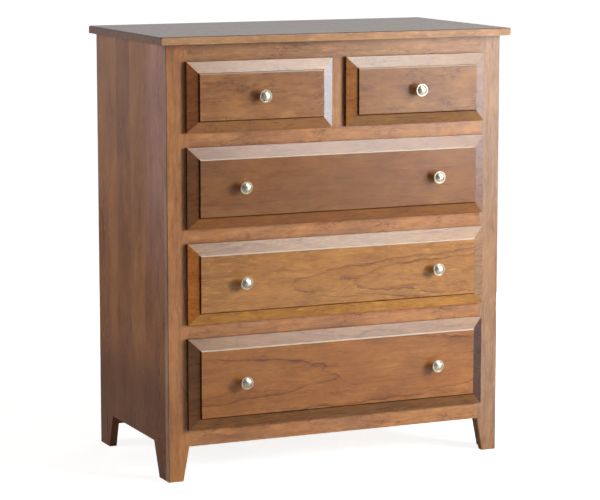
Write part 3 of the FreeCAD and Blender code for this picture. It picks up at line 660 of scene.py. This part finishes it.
# Board of each drawer front: where the heart of its log ran, how it slanted, its figure, its tint, and the
# filters of its four bevels, which paint light and shade on them
FRONT_BOARDS = {
    "upper_left_drawer": {"seed": 4.1, "heart": (-0.03, 0.10), "lean": (0.03, 0.05), "ring_depth": 0.06,
                          "curl": 0.42, "streak": 0.15, "mottle": 0.6, "tint": (1.07, 1.07, 0.71),
                          "crest": 0.4, "gloss": 0.7,
                          "end_filters": ((0.88, 0.68, 0.47), (0.3, 0.27, 0.3)),
                          "cross_filters": ((0.95, 0.9, 0.4), (0.82, 0.88, 0.74))},
    "upper_right_drawer": {"seed": 6.6, "heart": (0.02, 0.12), "lean": (-0.03, 0.04), "ring_depth": 0.06,
                           "curl": 0.42, "streak": 0.15, "tint": (0.98, 1.01, 0.67),
                           "crest": 0.4,
                           "end_filters": ((1.62, 1.55, 1.55), (0.64, 0.65, 0.95)),
                           "cross_filters": ((0.82, 0.8, 0.38), (0.82, 0.98, 1.2))},
    "second_drawer": {"seed": 8.3, "heart": (0.10, 0.10), "lean": (0.02, 0.03), "ring_depth": 0.05,
                      "streak": 0.15, "mottle": 0.5, "tint": (0.85, 0.83, 0.54),
                      "end_filters": ((0.87, 0.87, 1.05), (0.6, 0.5, 0.62)),
                      "cross_filters": ((0.93, 0.78, 0.27), (0.82, 0.82, 0.75))},
    "third_drawer": {"seed": 11.2, "heart": (-0.012, 0.0635), "lean": (0.0, 0.07), "ring_gap": 0.0096,
                     "ring_peak": 6.5, "ring_beat": 1.1, "ring_depth": 0.5, "dash": 0.7, "mottle": 0.55,
                     "fleck": 0.55, "tint": (1.39, 1.52, 0.98),
                     "end_filters": ((1.28, 0.9, 0.55), (0.66, 0.74, 1.2)),
                     "cross_filters": ((1.12, 1.12, 0.76), (0.65, 0.68, 0.66))},
    "bottom_drawer": {"seed": 12.9, "heart": (0.004, 0.0806), "lean": (0.01, -0.06), "ring_gap": 0.0125,
                      "ring_peak": 6.0, "ring_beat": 1.9, "ring_depth": 0.6, "dash": 0.5, "mottle": 0.5,
                      "tint": (1.17, 1.11, 0.66),
                      "end_filters": ((0.5, 0.53, 0.74), (0.16, 0.1, 0.1)),
                      "cross_filters": ((0.61, 0.65, 0.6), (0.76, 0.93, 1.38))},
}
for drawer, board in FRONT_BOARDS.items():
    front = drawer + "_front"
    dress(front, wood("cherry_" + front, front, CHERRY, "x", "y", field_margin=FIELD_MARGIN, **board))
    soften(front, FRONT_ROUND)

# Boards inside the carcass
for number, node in enumerate(("front_top_stretcher", "back_top_stretcher", "bottom_back_rail")):
    dress(node, wood("poplar_" + node, node, POPLAR, "x", "z", seed=number + 0.4))
for number, node in enumerate(("centre_bearer", "slide_cleats_left", "slide_cleats_right")):
    dress(node, wood("poplar_" + node, node, POPLAR, "y", "x", seed=number + 3.2))
dress("back_panel", plywood("plywood_back_panel", "back_panel", "z", "y", 2.0))

# Drawer boxes
BOX_ROUND = 0.0008
for number, drawer in enumerate(DRAWERS):
    for hand in ("left", "right"):
        node = f"{drawer}_side_{hand}"
        dress(node, wood("maple_" + node, node, MAPLE, "y", "x", seed=number * 1.9 + len(hand)))
        soften(node, BOX_ROUND)
    node = drawer + "_back"
    dress(node, wood("maple_" + node, node, MAPLE, "x", "y", seed=number * 1.3 + 7.0))
    soften(node, BOX_ROUND)
    node = drawer + "_bottom"
    dress(node, plywood("plywood_" + node, node, "x", "z", number + 4.0))

# Metal pieces
nickel = metal("satin_nickel", (srgb(205, 192, 170), srgb(236, 226, 206)), 0.3,
               (900.0, 900.0, 900.0), 0.00002)
zinc = metal("zinc_steel", (srgb(150, 153, 156), srgb(190, 193, 197)), 0.36,
             (700.0, 6.0, 700.0), 0.00003)
screw_steel = metal("screw_steel", (srgb(140, 138, 132), srgb(178, 174, 166)), 0.34,
                    (500.0, 500.0, 500.0), 0.00003)
dress("slide_cabinet_members", zinc)
dress("top_screws", screw_steel)
for drawer in DRAWERS:
    dress(drawer + "_knobs", nickel)
    dress(drawer + "_slide_inner_members", zinc)
    dress(drawer + "_slide_middle_members", zinc)


# Screws that hold the slides to the drawer boxes

SLIDE_WEB = 0.0012
SCREW_RADIUS = 0.0036
SCREW_RISE = 0.0021
SCREW_SHARES = (0.09, 0.36, 0.64, 0.91)
# Shares of the radius and of the rise from the web out over the head and down into its cross recess
HEAD_PROFILE = ((1.0, 0.0), (1.0, 0.3), (0.9, 0.66), (0.66, 0.92))
RECESS_PROFILE = ((0.4, 1.0), (0.34, 0.4))
HEAD_SIDES = 32
CROSS_ARMS = 4
CROSS_DEPTH = 0.45


def add_pan_head(mesh, place, direction):
    """Pan head of a cross-recess screw that stands on a web and points along x."""
    rings = []
    for outline, cross in ((HEAD_PROFILE, 0.0), (RECESS_PROFILE, CROSS_DEPTH)):
        for radius_share, rise_share in outline:
            rise = direction * SCREW_RISE * rise_share
            ring = []
            for number in range(HEAD_SIDES):
                turn = 2 * math.pi * number / HEAD_SIDES
                radius = SCREW_RADIUS * radius_share * (1 + cross * math.cos(CROSS_ARMS * turn))
                offset = Vector((rise, radius * math.cos(turn), radius * math.sin(turn)))
                ring.append(mesh.verts.new(place + offset))
            rings.append(ring)
    for inner, outer in zip(rings, rings[1:]):
        for number in range(HEAD_SIDES):
            after = (number + 1) % HEAD_SIDES
            mesh.faces.new((inner[number], inner[after], outer[after], outer[number]))
    mesh.faces.new(rings[0])
    mesh.faces.new(rings[-1])


def make_slide_screws(drawer):
    """Screw heads inside the two slide members of a drawer."""
    low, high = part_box(drawer + "_slide_inner_members")
    mesh = bmesh.new()
    for hand, direction in (("left", -1), ("right", 1)):
        box_low, box_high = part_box(f"{drawer}_side_{hand}")
        web = (box_low.x if direction < 0 else box_high.x) + direction * SLIDE_WEB
        for share in SCREW_SHARES:
            along = low.y + (high.y - low.y) * share
            add_pan_head(mesh, Vector((web, along, (low.z + high.z) / 2)), direction)
    bmesh.ops.recalc_face_normals(mesh, faces=mesh.faces)
    name = drawer + "_slide_screws"
    data = bpy.data.meshes.new(name)
    mesh.to_mesh(data)
    mesh.free()
    data.materials.append(screw_steel)
    piece = bpy.data.objects.new(name, data)
    bpy.context.scene.collection.objects.link(piece)
    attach(piece, drawer)


for drawer in DRAWERS:
    make_slide_screws(drawer)


# Floor, light and camera

LAMP_TARGET = Vector((0.0, -0.25, 0.7))
COOL_WHITE = (0.97, 0.99, 1.0)
PALE_BLUE = (0.9, 0.95, 1.0)
SKY_BLUE = (0.86, 0.93, 1.0)
WARM_WHITE = (1.0, 0.96, 0.93)
SOFT_WHITE = (1.0, 0.98, 0.95)


def area_lamp(name, azimuth, elevation, distance, size, radiance, colour, matt=True, sheen=True):
    """Soft box at an angle right of the chest's front and above it; it may light only matt colours or
    only the sheen."""
    turn = math.radians(azimuth)
    rise = math.radians(elevation)
    toward = Vector((math.sin(turn) * math.cos(rise), -math.cos(turn) * math.cos(rise), math.sin(rise)))
    lamp = bpy.data.lights.new(name, "AREA")
    lamp.shape = "RECTANGLE"
    lamp.size, lamp.size_y = size
    lamp.energy = radiance * math.pi * size[0] * size[1]
    lamp.color = colour
    item = bpy.data.objects.new(name, lamp)
    item.location = LAMP_TARGET + toward * distance
    item.rotation_euler = (-toward).to_track_quat("-Z", "Y").to_euler()
    item.visible_diffuse = matt
    item.visible_glossy = sheen
    bpy.context.scene.collection.objects.link(item)


# Floor: its half width in metres, how white it looks beside the chest and from where to where it turns to
# full white, and how bright its far part and its front right part are in mirrored light
FLOOR_REACH = 40.0
NEAR_WHITE = 0.84
WHITE_RANGE = (0.8, 3.5)
FAR_RANGE = (1.5, 10.0)
FAR_SHEEN = 0.31
FRONT_RANGES = ((-0.4, 0.6), (0.0, -0.8))
FRONT_SHEEN = 0.3
FLOOR_CAST = (0.84, 0.92, 1.0, 1.0)


def make_floor():
    """Large pale floor whose open parts look white, and which keeps the shadow of the chest."""
    mesh = bpy.data.meshes.new("floor")
    corners = [(x * FLOOR_REACH, y * FLOOR_REACH, 0) for x, y in ((-1, -1), (1, -1), (1, 1), (-1, 1))]
    mesh.from_pydata(corners, [], [(0, 1, 2, 3)])
    floor = bpy.data.objects.new("floor", mesh)
    bpy.context.scene.collection.objects.link(floor)
    graph = Graph(bpy.data.materials.new("pale_floor"))
    rays = graph.add("LightPath").outputs
    mirrored = graph.math("ADD", rays["Is Glossy Ray"], rays["Is Transmission Ray"])
    place = graph.coordinates("Object")
    away = graph.norm(place)
    white = graph.math("MULTIPLY_ADD", graph.step(away, *WHITE_RANGE), 1.0 - NEAR_WHITE, NEAR_WHITE)
    seen = graph.math("MULTIPLY", rays["Is Camera Ray"], white)
    far = graph.math("MULTIPLY", graph.step(away, *FAR_RANGE), FAR_SHEEN)
    rightward, forward = (graph.step(part, *limits) for part, limits
                          in zip(graph.split(place), FRONT_RANGES))
    front_right = graph.math("MULTIPLY", rightward, forward)
    backdrop = graph.math("MAXIMUM", far, graph.math("MULTIPLY", front_right, FRONT_SHEEN))
    sheen = graph.math("MULTIPLY", mirrored, backdrop)
    paper = graph.noise(place, (3.0, 3.0, 3.0)).outputs[0]
    colour = graph.ramp(paper, ((0.3, srgb(226, 226, 226)), (0.7, srgb(231, 231, 231))))
    matt = graph.add("BsdfDiffuse", (("Color", colour),)).outputs[0]
    glow = graph.add("Emission", (("Strength", seen),)).outputs[0]
    cool = graph.add("Emission", (("Color", FLOOR_CAST), ("Strength", sheen))).outputs[0]
    lifted = graph.add("AddShader", ((0, glow), (1, cool))).outputs[0]
    graph.surface(graph.add("AddShader", ((0, matt), (1, lifted))).outputs[0])
    mesh.materials.append(graph.owner)


# World in mirrored light: its level, and how much darker the left and brighter the back and the right are,
# each with the range of directions over which that sets in; and its level on matt colours
SKY_LEVEL = 0.25
LEFT_DIM = 0.17
LEFT_RANGE = (-0.4, -0.75)
BACK_LIFT = 0.49
BACK_RANGE = (-0.1, 0.4)
RIGHT_LIFT = 0.4
RIGHT_RANGE = (0.2, 0.9)
MATT_LEVEL = 0.05


def make_world():
    """Faint light on matt colours, a plain backdrop for the sheen, and white for the camera."""
    world = bpy.data.worlds.new("studio")
    bpy.context.scene.world = world
    graph = Graph(world)
    rays = graph.add("LightPath").outputs
    mirrored = graph.math("ADD", rays["Is Glossy Ray"], rays["Is Transmission Ray"])
    toward = graph.split(graph.coordinates("Generated"))
    dim = graph.math("MULTIPLY", graph.step(toward[0], *LEFT_RANGE), LEFT_DIM)
    backdrop = graph.math("SUBTRACT", SKY_LEVEL, dim)
    backdrop = graph.math("MULTIPLY_ADD", graph.step(toward[1], *BACK_RANGE), BACK_LIFT, backdrop)
    backdrop = graph.math("MULTIPLY_ADD", graph.step(toward[0], *RIGHT_RANGE), RIGHT_LIFT, backdrop)
    seen = graph.math("MULTIPLY_ADD", mirrored, backdrop, rays["Is Camera Ray"])
    direct = graph.math("MINIMUM", graph.math("ADD", rays["Is Camera Ray"], mirrored), 1.0)
    strength = graph.math("MULTIPLY_ADD", graph.math("SUBTRACT", 1.0, direct), MATT_LEVEL, seen)
    sky = graph.add("Background", (("Color", (1.0, 1.0, 1.0, 1.0)), ("Strength", strength)))
    graph.surface(sky.outputs[0])


def make_camera():
    """Camera at the viewing angle of the photograph."""
    yaw = math.radians(24.01)
    pitch = math.radians(8.6)
    place = Vector((-2.566, -5.756, 1.471))
    ahead = Vector((math.sin(yaw) * math.cos(pitch), math.cos(yaw) * math.cos(pitch), -math.sin(pitch)))
    data = bpy.data.cameras.new("camera")
    data.sensor_width = 36.0
    data.lens = 148.8
    camera = bpy.data.objects.new("camera", data)
    camera.location = place
    camera.rotation_euler = ahead.to_track_quat("-Z", "Y").to_euler()
    bpy.context.scene.collection.objects.link(camera)
    bpy.context.scene.camera = camera


make_floor()
make_world()
make_camera()
area_lamp("high", azimuth=36, elevation=35, distance=2.4, size=(0.8, 1.4), radiance=2.0,
          colour=COOL_WHITE)
area_lamp("high_sheen", azimuth=32, elevation=36, distance=3.4, size=(1.15, 2.0), radiance=10.8,
          colour=COOL_WHITE, matt=False)
area_lamp("key", azimuth=48, elevation=11, distance=3.0, size=(0.75, 1.0), radiance=26.9,
          colour=COOL_WHITE, sheen=False)
area_lamp("low", azimuth=35, elevation=3, distance=2.4, size=(0.5, 0.7), radiance=6.6,
          colour=PALE_BLUE)
area_lamp("side", azimuth=63.3, elevation=5.8, distance=2.4, size=(0.55, 1.0), radiance=3.3,
          colour=SKY_BLUE)
area_lamp("side_sheen", azimuth=63.3, elevation=5.8, distance=2.5, size=(0.57, 1.04), radiance=16.2,
          colour=SKY_BLUE, matt=False)
area_lamp("fill", azimuth=-100, elevation=17, distance=2.8, size=(1.5, 1.1), radiance=2.8,
          colour=WARM_WHITE, sheen=False)
area_lamp("back", azimuth=148, elevation=-5, distance=2.8, size=(1.5, 0.6), radiance=7.5,
          colour=SOFT_WHITE, sheen=False)

bpy.context.scene.view_settings.view_transform = "Standard"
